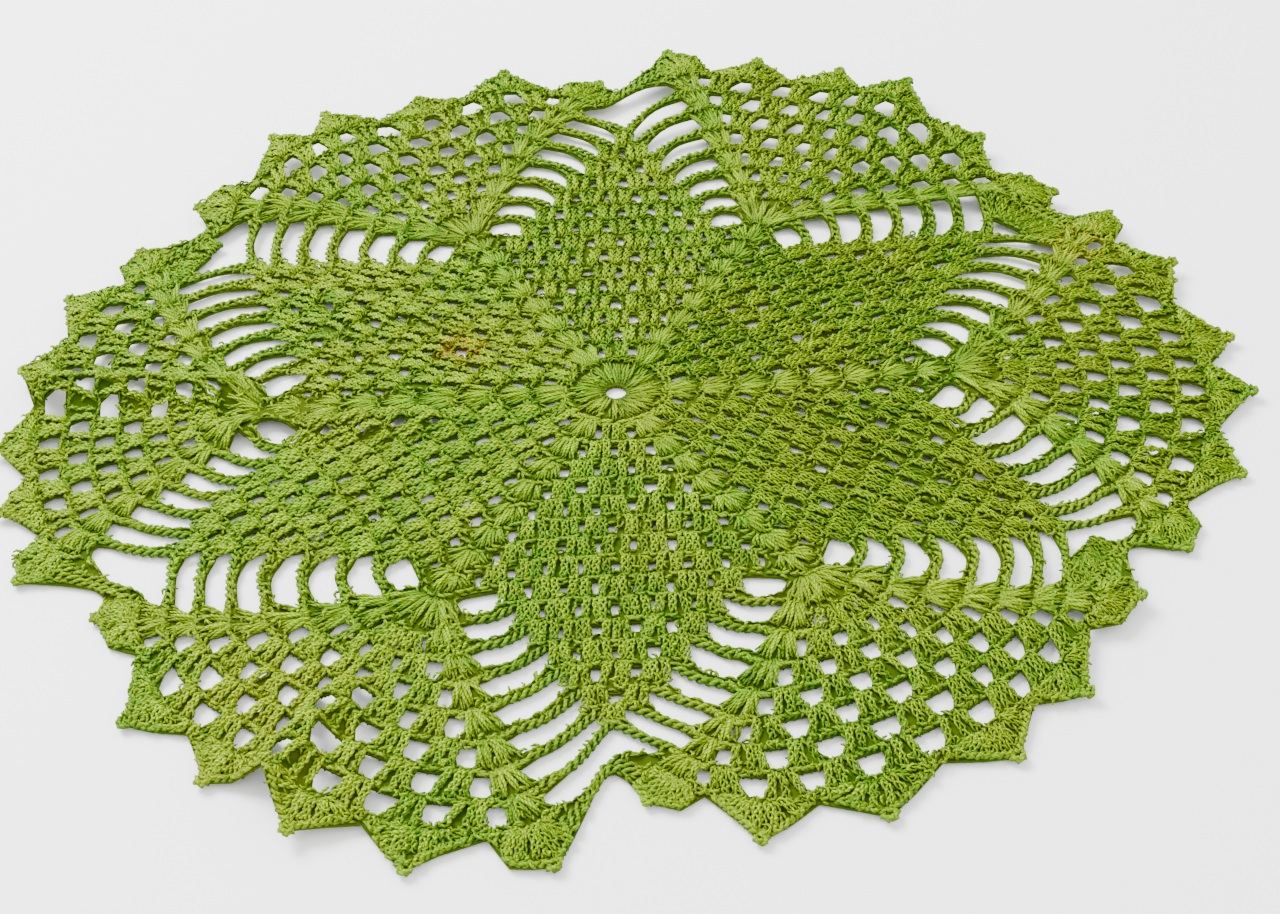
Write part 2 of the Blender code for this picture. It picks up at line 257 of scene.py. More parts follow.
def cloth_height(x, y):
    """Underside of the cloth above the table: flat, but for the lifted rim and the folds."""
    dx, dy = x - SHIFT[0], y - SHIFT[1]
    lift = max(ring_at(RIM_ROWS, (degrees(atan2(dy, dx)) - TURN) % 360)[3] / 1000, 0.0)
    return lift * smooth((hypot(dx, dy) - LIFT_START) / (LIFT_END - LIFT_START)) + fold_height(x, y)


# The larger gaps

def arm_corner(r, side):
    """The outer top corner of an arm's round r, where its chain bar ends."""
    x = ((MESH_ROUNDS - 1 - r) / 2 + ARM_CORNER) * BLOCK
    return side * x, arm_top(r, x) + ARM_PROUD


def bar_gap(arm, r, side):
    """The gap under round r's chain bar, between an arm and the band beside it."""
    fan = arm + side * -30

    def on_arm(p):
        return place(p[0], p[1], arm)

    def on_band(p):
        return place(-side * p[0], p[1], fan)

    foot_side = (MESH_ROUNDS - 1 - r) / 2 * BLOCK + 0.25 * BLOCK
    foot = on_arm((side * foot_side, arm_top(r - 1, foot_side) + GAP_RISE))
    bar_in, bar_out = on_arm(arm_corner(r, side)), on_band(band_edge(r))
    base = band_base(r)
    notch = on_band((base[0] + 0.0040, base[1] - 0.0031))
    if r == MIDDLE_ROUNDS + 1:
        lower = [on_band((base[0] + 0.0052, base[1] - 0.0044))]
    else:
        lower = [on_band(band_edge(r - 1)), on_arm(arm_corner(r - 1, side))]
        lower = [between(lower[0], bar_out, 0.11), notch][::-1] + [between(lower[1], bar_in, 0.16)]
    top_out = between(bar_out, notch, 0.20)
    top_in = between(bar_in, foot, 0.22)
    return [foot, top_in, top_out] + lower


# The edge of the gap at an arm's tip, from the last bar to the middle of the strand
TIP_EDGE = ((0.0185, 0.1541), (0.0178, 0.1562), (0.0150, 0.1576), (0.0075, 0.1577),
            (0.0, TIP - STRAND_HALF))
TIP_FOOT = (0.0, arm_top(MESH_ROUNDS - 1, 0) + GAP_RISE)


def tip_gap(arm):
    """The gap between the last two bars of an arm and the strand across its tip."""
    after, before = TIP_OPEN[arm]
    tip = between(TIP_FOOT, TIP_EDGE[-1], max(after, before))
    loop = [TIP_FOOT] + [between(TIP_FOOT, p, after) for p in TIP_EDGE[:-1]] + [tip]
    loop += [between(TIP_FOOT, (-x, y), before) for x, y in TIP_EDGE[-2::-1]]
    return [place(x, y, arm) for x, y in loop]


GAP_SHAPE = ((-0.27, 0.12), (0.27, 0.12), (0.27, 0.46), (0.12, 0.84), (-0.12, 0.84), (-0.27, 0.46))


def fan_gap(fan, r, i):
    """Gap i of a fan's round r, under the chain that joins two blocks."""
    q = i - (r - MIDDLE_ROUNDS) / 2
    return [place(*fan_point(r, q + dq, h), fan) for dq, h in GAP_SHAPE]


# The rim

def rim_point(n):
    """Rim point n of a fan on an even mat, across and along the fan's axis."""
    turn, reach = EVEN_POINTS[n]
    return reach * sin(radians(turn)), reach * cos(radians(turn))


def above(q, rise):
    """A place over the last round of the mesh, q gaps from a fan's axis."""
    side, out = fan_point(MESH_ROUNDS, q, 1)
    return side, out + rise


def corner_line():
    """The rim about a fan's last point, which stands beside the arm's tip."""
    x, y = rim_point(5)
    return [(x - 0.0105, y + 0.0040), (x, y), (x + 0.0012, y - 0.0068)]


def half_rim():
    """The rim from a fan's axis to the tip of the arm on its anticlockwise side, in the fan's frame."""
    rim = []
    for q, n in ((1, 3), (3, 4)):
        rim += [above(q - 1, VALLEY_RISE), above(q - FLANK, FLANK_RISE)]
        rim += [rim_point(n), above(q + FLANK, FLANK_RISE)]
    rim += [above(4, VALLEY_RISE)] + corner_line()
    a = radians(30)
    for side, out in ((0.0076, 0.1674), (0.0038, 0.1645), (0.0, TIP + STRAND_HALF)):
        rim.append((out * sin(a) - side * cos(a), out * cos(a) + side * sin(a)))
    return rim


def outline():
    found = []
    half = half_rim()
    for fan in sorted(FANS):
        found += [place(x, y, fan) for x, y in half[:0:-1]]
        found += [place(-x, y, fan) for x, y in half[:-1]]
    return found


# Sizes of the stitches and the yarn, in metres
WEB_LOW = 0.0006  # underside of the web above the cloth's own
WEB_THICKNESS = 0.0007
WEB_STEP = 0.006
STRAND = 0.00048  # half the thickness of one strand of a post
POST_WIDE = 0.00090  # how far the plait of a post goes to each side
POST_THICK = 0.00040  # and up and down
POST_PITCH = 0.0085  # length in which a strand goes across and back
LONG_APART = 0.00050  # the same for the long posts of shells, which are wound, not plaited
LONG_PITCH = 0.0170
LONG_SKIP = 2
CURL_HALF = 0.0014  # half the width of the loop that closes a stitch
CURL_OUT = 0.0012
CHAIN_STRAND = 0.00058
CHAIN_APART = 0.00072
CHAIN_PITCH = 0.0036  # length of one turn of its two strands
CHAIN_STEP = 0.0011
CHAIN_HEIGHT = 0.0015
CHAIN_LOW = 0.0010  # where the next round's stitches go over it
CURL_STRAND = 0.00046  # half the thickness of the short curls between the stitches
NET_CURLS = 6600
EDGE_APART = 0.0026  # from one curl to the next along a gap's edge
BAR_STRAND = 0.00058
BAR_APART = 0.00072
BAR_PITCH = 0.0052
BAR_STEP = 0.0010
BAR_HEIGHT = 0.0014
BAR_BOW = 0.0014  # the bars bend this far towards the arm's tip
BOW_PARTS = 5
CORNER_CUT = 0.17  # of each edge of a ladder gap, rounded off at its corners
BLOCK_STRAY = 0.00035
BLOCK_HALF = 0.0027  # from a block's middle post to its outer ones, at the top
FAN_BLOCK_HALF = 0.0036
FOOT_UNDER = 0.0011  # a post's foot starts under the chain that it is worked round
TOP_UNDER = 0.0004
CENTRE_ROUNDS = 6  # these go into a piece of their own
FIRST_STITCHES = 40
FIRST_TOP = 0.0136
BAND_STITCHES = 7
SHELL_FOOT = 0.00034  # between the feet of a shell's posts
LAP_STITCHES = 14
LAP_BELOW = 0.75  # where less than this share of a tip's gap is open
RIM_INSET = 0.0009
SHELL_REACH = 0.86  # half the width of a rim shell, in gaps

# The photograph's camera
SENSOR, LENS = 36.0, 58.58  # in mm
LOOK_DOWN = 40.546
LOOK_ROLL = 3.028
LOOK_FROM = 0.59793
LOOK_AT = (0.004361, -0.037202, 0.0013)

# Lamps: name, place, size and power
LAMPS = (
    ("softbox", (-0.85, 0.75, 1.25), 0.9, 88.0),
    ("fill", (0.9, -0.9, 1.4), 1.6, 14.0),
)
ROOM_LIGHT = 2.1

noise = np.random.default_rng(18)


# Every gap of the net, for the web under the stitches

GAP_MIDDLE = 0.46  # of the way up a round
MESH_GAP = ((-0.17, 0.14), (0.17, 0.14), (0.20, 0.42), (0.13, 0.78), (-0.13, 0.78), (-0.20, 0.42))


def arm_point(r, x, h):
    """A point of round r in an arm's sector, h of the way up the round."""
    return x, (1 - h) * arm_top(r - 1, x) + h * arm_top(r, x)


def arm_gap_count(r):
    return r if r <= MIDDLE_ROUNDS else MESH_ROUNDS - 1 - r


def row(count, pitch):
    """Places of a row of things, evenly about the axis."""
    return [(i - (count - 1) / 2) * pitch for i in range(count)]


def bowed(a, b, bow):
    """Points from a to b, bent to the left of that way."""
    length = distance(a, b)
    points = []
    for k in range(BOW_PARTS + 1):
        x, y = between(a, b, k / BOW_PARTS)
        aside = bow * sin(pi * k / BOW_PARTS) / length
        points.append((x + (a[1] - b[1]) * aside, y + (b[0] - a[0]) * aside))
    return points


def ladder_gap(arm, r, side):
    """A gap between two chain bars as the yarn leaves it: the bars bend, the corners are round."""
    corners = bar_gap(arm, r, side)
    bows = {1: side * BAR_BOW, 4: -side * BAR_BOW}
    loop = []
    for i, corner in enumerate(corners):
        before, after = corners[i - 1], corners[(i + 1) % len(corners)]
        loop.append(between(corner, before, CORNER_CUT))
        start, end = between(corner, after, CORNER_CUT), between(after, corner, CORNER_CUT)
        loop += bowed(start, end, bows[i])[:-1] if i in bows else [start]
    return loop


def bar_gaps():
    found = []
    for arm in ARMS:
        found.append(tip_gap(arm))
        for side in (-1, 1):
            found += [ladder_gap(arm, r, side) for r in range(MIDDLE_ROUNDS + 1, MESH_ROUNDS)]
    return found


def fan_gaps():
    return [fan_gap(fan, r, i) for fan in FANS for r in range(MIDDLE_ROUNDS + 2, MESH_ROUNDS + 1)
            for i in range(r - MIDDLE_ROUNDS + 1)]


def small_gaps():
    """The gaps between the blocks of the middle and the arms. No two are alike."""
    found = []
    for arm in ARMS:
        for r in range(2, MESH_ROUNDS - 1):
            for x in row(arm_gap_count(r), BLOCK):
                wide, high = noise.uniform(0.55, 1.08), noise.uniform(0.60, 1.0)
                aside, up = noise.normal(0, 0.045), noise.normal(0, 0.05)
                loop = []
                for dq, h in MESH_GAP:
                    part = GAP_MIDDLE + (h - GAP_MIDDLE) * high + up
                    loop.append(place(*arm_point(r, x + (dq * wide + aside) * BLOCK, part), arm))
                found.append(loop)
    return found


def centre_gap():
    return [(CENTRE_HOLE * cos(k * pi / 6), CENTRE_HOLE * sin(k * pi / 6)) for k in range(12)]


def edges_of(loop):
    """Each point of a loop with the next one."""
    return zip(loop, loop[1:] + loop[:1])


def finely(loop, step):
    """The loop with points added, so that it follows the cloth's bends."""
    fine = []
    for a, b in edges_of(loop):
        cuts = max(1, ceil(distance(a, b) / step))
        fine += [between(a, b, k / cuts) for k in range(cuts)]
    return fine


def loop_area(loop):
    """The area inside a loop, less than 0 where it runs clockwise."""
    return sum(a[0] * b[1] - b[0] * a[1] for a, b in edges_of(loop)) / 2


CLOSE_REACH, CLOSE_SHARE = 0.105, 0.18  # within this reach there are fewer short curls


def places_on(bm, count):
    """Places picked at random over the faces: most of them outside the middle."""
    corners = np.array([[loop.vert.co[:2] for loop in triple] for triple in bm.calc_loop_triangles()])
    a, b, c = corners[:, 0], corners[:, 1], corners[:, 2]
    area = np.abs((b - a)[:, 0] * (c - a)[:, 1] - (b - a)[:, 1] * (c - a)[:, 0])
    area *= np.where(np.hypot(a[:, 0], a[:, 1]) > CLOSE_REACH, 1.0, CLOSE_SHARE)
    picked = noise.choice(len(corners), count, p=area / area.sum())
    u, v = noise.random(count), noise.random(count)
    u, v = np.where(u + v > 1, 1 - u, u), np.where(u + v > 1, 1 - v, v)
    return a[picked] + (b - a)[picked] * u[:, None] + (c - a)[picked] * v[:, None]


LONG_EDGE = 0.016  # longer edges are split, so that the folds have points to follow


def split_long_edges(bm):
    """Splits long edges inside the cloth until all are short, and evens the triangles out."""
    for _ in range(4):
        bmesh.ops.triangulate(bm, faces=bm.faces[:])
        long = [e for e in bm.edges if e.calc_length() > LONG_EDGE and not e.is_boundary]
        if long:
            bmesh.ops.subdivide_edges(bm, edges=long, cuts=1)
        bmesh.ops.triangulate(bm, faces=bm.faces[:])
        inner = [e for e in bm.edges if not e.is_boundary]
        bmesh.ops.beautify_fill(bm, faces=bm.faces[:], edges=inner)


def thicken(bm):
    """Gives the one layer its thickness, straight up."""
    grown = bmesh.ops.extrude_face_region(bm, geom=bm.faces[:])["geom"]
    top = [v for v in grown if isinstance(v, bmesh.types.BMVert)]
    bmesh.ops.translate(bm, verts=top, vec=(0, 0, WEB_THICKNESS))
    bmesh.ops.recalc_face_normals(bm, faces=bm.faces[:])


def put(name, data):
    """A new object in the scene."""
    thing = bpy.data.objects.new(name, data)
    bpy.context.scene.collection.objects.link(thing)
    return thing


def build_web():
    """The thin layer between the stitches, dark with painted shade, with every gap cut: the sheet
    itself.
    """
    curve = bpy.data.curves.new("mat_web", "CURVE")
    curve.dimensions = "2D"
    curve.fill_mode = "BOTH"
    even = {"rim": [outline()], "centre": [centre_gap()], "small": small_gaps(),
            "bars": bar_gaps(), "fans": fan_gaps()}
    loops = {}
    for kind, found in even.items():
        loops[kind] = [[lay(p) for p in finely(loop, WEB_STEP)] for loop in found]
    cut = loops["centre"] + loops["small"] + loops["bars"] + loops["fans"]
    for loop in loops["rim"] + cut:
        spline = curve.splines.new("POLY")
        spline.points.add(len(loop) - 1)
        spline.points.foreach_set("co", [v for x, y in loop for v in (x, y, 0, 1)])
        spline.use_cyclic_u = True
    drawn = put("web_curve", curve)
    bpy.context.view_layer.update()
    mesh = bpy.data.meshes.new_from_object(drawn.evaluated_get(bpy.context.evaluated_depsgraph_get()))
    bpy.data.objects.remove(drawn)
    mesh.name = "mat_web"
    bm = bmesh.new()
    bm.from_mesh(mesh)
    bmesh.ops.remove_doubles(bm, verts=bm.verts[:], dist=0.00002)
    split_long_edges(bm)
    places = places_on(bm, NET_CURLS)
    for vertex in bm.verts:
        vertex.co.z = cloth_height(vertex.co.x, vertex.co.y) + WEB_LOW
    thicken(bm)
    bm.to_mesh(mesh)
    bm.free()
    web = put("mat_web", mesh)
    area = abs(loop_area(loops["rim"][0])) - sum(abs(loop_area(loop)) for loop in cut)
    return web, area, places, loops


# Yarn

TINY = 1e-9
END_GIRTH = 0.55  # of a strand's girth, at its two ends


def beside(lines):
    """Across and up at each point of a line or of many, and how far along its line each point is."""
    ahead = np.gradient(lines, axis=-2)
    ahead /= np.maximum(np.linalg.norm(ahead, axis=-1, keepdims=True), TINY)
    across = np.cross(ahead, (0.0, 0.0, 1.0))
    across /= np.maximum(np.linalg.norm(across, axis=-1, keepdims=True), TINY)
    steps = np.linalg.norm(np.diff(lines, axis=-2), axis=-1)
    along = np.concatenate([np.zeros(steps.shape[:-1] + (1,)), np.cumsum(steps, axis=-1)], axis=-1)
    return across, np.cross(across, ahead), along


def tubes(lines, radius, sides, heights):
    """Round strands along many lines at once. lines is (count, points, 3)."""
    across, upward, along = beside(lines)
    turn = np.arange(sides) * 2 * pi / sides + pi / sides
    ring = across[:, :, None] * np.cos(turn)[:, None] + upward[:, :, None] * np.sin(turn)[:, None]
    girth = np.full(lines.shape[1], radius)
    girth[[0, -1]] *= END_GIRTH
    verts = lines[:, :, None] + ring * girth[:, None, None]
    along = np.broadcast_to(along[:, :, None], verts.shape[:3])
    return verts, along, verts[..., 2] - heights[:, :, None]


def tube_faces(count, points, sides):
    """Quads of the tubes and a cap at each end, as corner numbers."""
    i, k, s = np.meshgrid(np.arange(count), np.arange(points - 1), np.arange(sides), indexing="ij")
    start = i * points * sides
    near = start + k * sides
    far = near + sides
    after = (s + 1) % sides
    quads = np.stack([near + s, far + s, far + after, near + after], axis=-1).reshape(-1, 4)
    first = np.arange(count)[:, None] * points * sides + np.arange(sides)[None, :]
    last = first + (points - 1) * sides
    return quads, first, last[:, ::-1]


class Yarn:
    """Gathers strands and makes one mesh of them."""

    def __init__(self, name):
        self.name = name
        self.groups = {}

    def add(self, line, radius, sides):
        self.groups.setdefault((len(line), radius, sides), []).append(line)

    def build(self):
        verts, faces, caps, along, around, rise, tone = [], [], [], [], [], [], []
        used = 0
        for (points, radius, sides), lines in self.groups.items():
            lines = np.array(lines)
            heights = np.array([[cloth_height(x, y) for x, y, _ in line] for line in lines])
            ring, length, lift = tubes(lines, radius, sides, heights)
            quads, first, last = tube_faces(len(lines), points, sides)
            verts.append(ring.reshape(-1, 3))
            faces.append(quads + used)
            caps += [first + used, last + used]
            along.append(length.reshape(-1))
            around.append(np.tile(np.arange(sides) / sides, len(lines) * points))
            rise.append(lift.reshape(-1))
            tone.append(np.repeat(noise.random(len(lines)), points * sides))
            used += len(lines) * points * sides
        return self.mesh(np.concatenate(verts), np.concatenate(faces), caps,
                         [np.concatenate(v) for v in (along, around, rise, tone)])

    def mesh(self, verts, quads, caps, values):
        loops = [quads.reshape(-1)] + [c.reshape(-1) for c in caps]
        sizes = [np.full(len(quads), 4)] + [np.full(len(c), c.shape[1]) for c in caps]
        corners, totals = np.concatenate(loops), np.concatenate(sizes)
        mesh = bpy.data.meshes.new(self.name)
        mesh.vertices.add(len(verts))
        mesh.vertices.foreach_set("co", verts.reshape(-1))
        mesh.loops.add(len(corners))
        mesh.loops.foreach_set("vertex_index", corners)
        mesh.polygons.add(len(totals))
        starts = np.concatenate([[0], np.cumsum(totals)[:-1]])
        mesh.polygons.foreach_set("loop_start", starts)
        mesh.polygons.foreach_set("use_smooth", np.ones(len(totals), dtype=bool))
        along, around, rise, tone = values
        strand = mesh.uv_layers.new(name="strand")
        turn = around[corners]
        first = np.repeat(turn[starts], totals)
        turn = np.where(np.abs(turn - first) > 0.5, turn + 1.0, turn)
        strand.data.foreach_set("uv", np.stack([turn, along[corners] * 1000], axis=1).reshape(-1))
        for name, per_point in (("rise", rise * 1000), ("tone", tone)):
            layer = mesh.attributes.new(name, "FLOAT", "POINT")
            layer.data.foreach_set("value", per_point)
        mesh.update(calc_edges=True)
        mesh.validate()
        return put(self.name, mesh)


def lie(line):
    """Puts (x, y, height in the cloth) points of the even pattern onto the cloth as it lies."""
    placed = []
    for x, y, z in line:
        x, y = lay((x, y))
        placed.append((x, y, cloth_height(x, y) + z))
    return np.array(placed)


def wind(yarn, line, radius, apart, pitch, phase, strands=2):
    """Strands wound round each other along a line."""
    across, upward, length = beside(line)
    turned = phase + 2 * pi * length / pitch
    for k in range(strands):
        a = turned + 2 * pi * k / strands
        offset = across * np.cos(a)[:, None] * 1.25 + upward * np.sin(a)[:, None] * 0.85
        yarn.add(line + apart * offset, radius, 4)


# Stitches: a foot on the round below, a post, and the chain edge across its top

POST_BOW, POST_STRAY = 0.00050, 0.00042  # how much posts bend, and how far their tops stray
POST_PARTS = (0.0, 0.12, 0.25, 0.39, 0.54, 0.69, 0.84, 1.0)
POST_HEIGHTS = (0.0007, 0.0018, 0.0024, 0.0023, 0.0021, 0.0020, 0.0019, 0.0015)
FIRST_HEIGHTS = (0.0008, 0.0010, 0.0012, 0.0015, 0.0017, 0.0018, 0.0018, 0.0016)
SHELL_HEIGHTS = (0.0010, 0.0014, 0.0017, 0.0018, 0.0018, 0.0017, 0.0017, 0.0015)


def plait(yarn, line, radius, wide, thick, pitch, phase):
    """Three strands plaited flat along a line, which shows as a row of small Vs."""
    across, upward, length = beside(line)
    for k in range(3):
        a = phase + 2 * pi * (length / pitch + k / 3)
        offset = across * (wide * np.sin(a))[:, None] + upward * (thick * np.sin(2 * a))[:, None]
        yarn.add(line + offset, radius, 3)


def post(yarn, foot, top, axis=None, long=False, heights=POST_HEIGHTS):
    """One double crochet from foot to top, given in the even plan or along an arm's or fan's axis."""
    if axis is not None:
        foot, top = place(*foot, axis), place(*top, axis)
    bow_x, bow_y, raise_by = noise.normal(0, POST_BOW, 3)
    end_x, end_y, _ = noise.normal(0, POST_STRAY, 3)
    line = []
    for part, height in zip(POST_PARTS, heights):
        x, y = between(foot, top, part)
        bow = sin(pi * part)
        line.append((x + bow_x * bow + end_x * part, y + bow_y * bow + end_y * part,
                     height + 0.7 * raise_by * bow))
    line = lie(line)
    if long:
        wind(yarn, line[::LONG_SKIP], STRAND, LONG_APART, LONG_PITCH, noise.uniform(0, 2 * pi), 3)
    else:
        plait(yarn, line, STRAND, POST_WIDE, POST_THICK, POST_PITCH, noise.uniform(0, 2 * pi))
    curl(yarn, line[-1], line[-1] - line[-3])


def curl(yarn, at, ahead):
    """The loop that closes a stitch, lying over the end of its post."""
    ahead = ahead / np.linalg.norm(ahead)
    across = np.cross(ahead, (0.0, 0.0, 1.0))
    lean = noise.normal(0, 0.25)
    loop = []
    for part in (-1.0, -0.4, 0.4, 1.0):
        rise = 1 - part * part
        onward = CURL_OUT * rise - 0.0005 + lean * part * CURL_OUT
        upward = np.array((0.0, 0.0, 0.0002 + 0.0006 * rise))
        loop.append(at + across * part * CURL_HALF + ahead * onward + upward)
    yarn.add(np.array(loop), STRAND, 3)


def fan_out(yarn, foot, tops, axis=None, foot_spread=0.0019, long=False):
    """Posts from one space to a row of tops."""
    middle = (len(tops) - 1) / 2
    left, right = tops[0], tops[-1]
    width = max(distance(left, right), TINY)
    across = ((right[0] - left[0]) / width, (right[1] - left[1]) / width)
    for i, top in enumerate(tops):
        off = (i - middle) * foot_spread
        start = (foot[0] + across[0] * off, foot[1] + across[1] * off)
        if long:
            top = between(start, top, 1 + noise.normal(0, 0.05))
        post(yarn, start, top, axis, long, SHELL_HEIGHTS if long else POST_HEIGHTS)


def rope(yarn, points, step, height, pitch=CHAIN_PITCH, radius=CHAIN_STRAND, apart=CHAIN_APART):
    """A chain along a line of the even plan."""
    path = [points[0]]
    for a, b in zip(points, points[1:]):
        cuts = max(1, round(distance(a, b) / step))
        path += [between(a, b, (k + 1) / cuts) for k in range(cuts)]
    line = lie([(x, y, height) for x, y in path])
    wind(yarn, line, radius, apart, pitch, noise.uniform(0, 2 * pi))


# The rounds

def block(yarn, arm, r, x):
    """Three stitches worked into the space below."""
    foot = (x + noise.normal(0, BLOCK_STRAY), arm_top(r - 1, x) - FOOT_UNDER)
    x = x + noise.normal(0, BLOCK_STRAY)
    half = BLOCK_HALF * noise.uniform(0.85, 1.2)
    tops = [(x + dx, arm_top(r, x + dx) - TOP_UNDER) for dx in (-half, 0, half)]
    fan_out(yarn, foot, tops, arm)


def spoke_shell(yarn, fan, r):
    """The shell of a round on a spoke, from the middle of the shell below."""
    spoke = FIRST_ROUND + SPOKE_ROUND * (r - 1)
    edge = (r - 1) / 2 * BLOCK + 0.27 * BLOCK
    end = spoke * sin(pi / 6)
    sides = [edge + (end - edge) * (k + 0.1) / 4.1 for k in range(4)]
    tops = [place(x, arm_top(r, x) - TOP_UNDER, fan + 30) for x in sides]
    tops.append(place(0, spoke - TOP_UNDER, fan))
    tops += [place(-x, arm_top(r, x) - TOP_UNDER, fan - 30) for x in sides[::-1]]
    foot = place(0, spoke - SPOKE_ROUND * 1.22, fan)
    fan_out(yarn, foot, tops, None, SHELL_FOOT, True)


def first_round(yarn):
    for k in range(FIRST_STITCHES):
        a = 2 * pi * k / FIRST_STITCHES
        foot = (CENTRE_HOLE * cos(a), CENTRE_HOLE * sin(a))
        top = FIRST_TOP + noise.uniform(0, 0.0022)
        post(yarn, foot, (top * cos(a), top * sin(a)), None, True, FIRST_HEIGHTS)
        for reach in (FIRST_TOP + 0.0010, FIRST_TOP + 0.0024):
            b = a + noise.uniform(0, 2 * pi / FIRST_STITCHES)
            at = lie([(reach * cos(b), reach * sin(b), 0.0015)])[0]
            curl(yarn, at, np.array((cos(b + 0.3), sin(b + 0.3), 0.0)))


def fan_chain(fan, r):
    """The line of the chain along the top of a fan's round r."""
    end = fan_point(r, (r - MIDDLE_ROUNDS) / 2, 1)[0]
    count = max(2, ceil(2 * end / 0.004))
    sides = [-end + 2 * end * k / count for k in range(count + 1)]
    return [place(x, fan_top(r, x), fan) for x in sides]


def middle_rounds(inner, outer):
    first_round(inner)
    for r in range(2, MIDDLE_ROUNDS + 1):
        yarn = inner if r <= CENTRE_ROUNDS else outer
        for arm in ARMS:
            for x in row(r - 1, BLOCK):
                block(yarn, arm, r, x)
        for fan in FANS:
            spoke_shell(yarn, fan, r)


def star_arms(yarn, bars):
    for arm in ARMS:
        for r in range(MIDDLE_ROUNDS + 1, MESH_ROUNDS):
            for x in row(MESH_ROUNDS - r, BLOCK):
                block(yarn, arm, r, x)
            for side in (-1, 1):
                bar(bars, arm, r, side)
        strand(bars, arm)


def bar(yarn, arm, r, side):
    """The chain bar of a round, from an arm's corner to the band beside it."""
    fan = arm + side * -30
    corner, edge = arm_corner(r, side), band_edge(r)
    if r < MESH_ROUNDS - 1:
        corner = between(corner, arm_corner(r + 1, side), 0.08)
        edge = between(edge, band_edge(r + 1), 0.05)
    a = place(corner[0] - side * 0.0016, corner[1] - 0.0002, arm)
    b = place(-side * (edge[0] - 0.0012), edge[1], fan)
    line = bowed(a, b, side * BAR_BOW * 1.15 + noise.normal(0, 0.0004))
    rope(yarn, line, BAR_STEP, BAR_HEIGHT, BAR_PITCH, BAR_STRAND, BAR_APART)


def strand(yarn, arm):
    """The last rounds' chains across an arm's tip, from one fan's corner to the next."""
    half = ((0.0, TIP), (0.0040, TIP + 0.0008), (0.0080, TIP + 0.0023),
            (0.0125, TIP + 0.0043), (0.0165, TIP + 0.0060))
    line = [place(-x, y, arm) for x, y in half[:0:-1]] + [place(x, y, arm) for x, y in half]
    for shift in (-0.0014, 0.0014):
        moved = [(x * (1 + shift / TIP), y * (1 + shift / TIP)) for x, y in line]
        rope(yarn, moved, BAR_STEP, BAR_HEIGHT, BAR_PITCH, BAR_STRAND, BAR_APART)


def lapping_shells(yarn):
    """The corner shells that lie over the closed part of the gaps at some arms' tips."""
    for arm in ARMS:
        for side, share in zip((1, -1), TIP_OPEN[arm]):
            for k in range(LAP_STITCHES if share < LAP_BELOW else 0):
                x, y = along_line(TIP_EDGE, (k + 0.5) / LAP_STITCHES)
                foot, top = (between(TIP_FOOT, (side * x, y), part) for part in (share + 0.03, 1.06))
                post(yarn, foot, top, arm, False, SHELL_HEIGHTS)


def fan_rounds(blocks, bands, chains):
    for fan in FANS:
        big_fan(bands, fan)
        for r in range(MIDDLE_ROUNDS + 2, MESH_ROUNDS + 1):
            for q in row(r - MIDDLE_ROUNDS, 1):
                foot = fan_point(r, q, 0)
                tops = []
                for dq in (-FAN_BLOCK_HALF, 0, FAN_BLOCK_HALF):
                    x, y = fan_point(r, q + dq / fan_pitch(r), 1)
                    tops.append((x, y - TOP_UNDER))
                fan_out(blocks, (foot[0], foot[1] - FOOT_UNDER), tops, fan)
            rope(chains, fan_chain(fan, r), CHAIN_STEP, CHAIN_LOW)
            for side in (-1, 1):
                band_shell(bands, chains, fan, r, side)


def big_fan(yarn, fan):
    """The shell of round 10, where a spoke parts into two bands."""
    tops = []
    for k in range(13):
        t = (k - 6) / 6
        a = radians(62 * t)
        reach = 0.0122 + 0.0022 * abs(t)
        tops.append(place(reach * sin(a) * 1.15, SPLIT - 0.001 + reach * cos(a), fan))
    foot = place(0, SPLIT - 0.0030, fan)
    fan_out(yarn, foot, tops, None, SHELL_FOOT, True)


def band_shell(yarn, chains, fan, r, side):
    """Round r's shell of a band, worked into the middle of the shell below."""
    base, top, edge = band_base(r), band_base(r + 1), band_edge(r)
    x = max(top[0] - BAND_CLEAR + 0.25 * fan_pitch(r), 0.0015)
    inner = (x, fan_top(r, x))
    tops = []
    for k in range(BAND_STITCHES):
        t = k / (BAND_STITCHES - 1)
        low = between(inner, top, min(2 * t, 1)) if t <= 0.5 else between(top, edge, 2 * t - 1)
        out = 0.0010 * sin(pi * t)
        tops.append(place(-side * low[0], low[1] + out, fan))
    foot = place(-side * base[0] * 0.99, base[1] - 0.0022, fan)
    fan_out(yarn, foot, tops, None, SHELL_FOOT, True)
    rope(chains, tops, CHAIN_STEP, CHAIN_HEIGHT)


# Short curls of yarn, which fill the net between the stitches

def small_curl(yarn, x, y, bearing, height, loose=1.0):
    """A short bent strand lying on the cloth at a place in plan."""
    half, bow = noise.uniform(0.0009, 0.0016), noise.normal(0, 0.0006) * loose
    line = []
    for part, up in ((-1.0, 0.0), (-0.35, 0.0004), (0.35, 0.0004), (1.0, 0.0)):
        along, aside = part * half, bow * (1 - part * part)
        at_x = x + along * cos(bearing) - aside * sin(bearing)
        at_y = y + along * sin(bearing) + aside * cos(bearing)
        line.append((at_x, at_y, cloth_height(at_x, at_y) + height + up))
    yarn.add(np.array(line), CURL_STRAND, 3)


def net_curls(yarn, places):
    for x, y in places:
        small_curl(yarn, x, y, atan2(y, x) + noise.normal(0, 0.7), noise.uniform(0.0013, 0.0024))


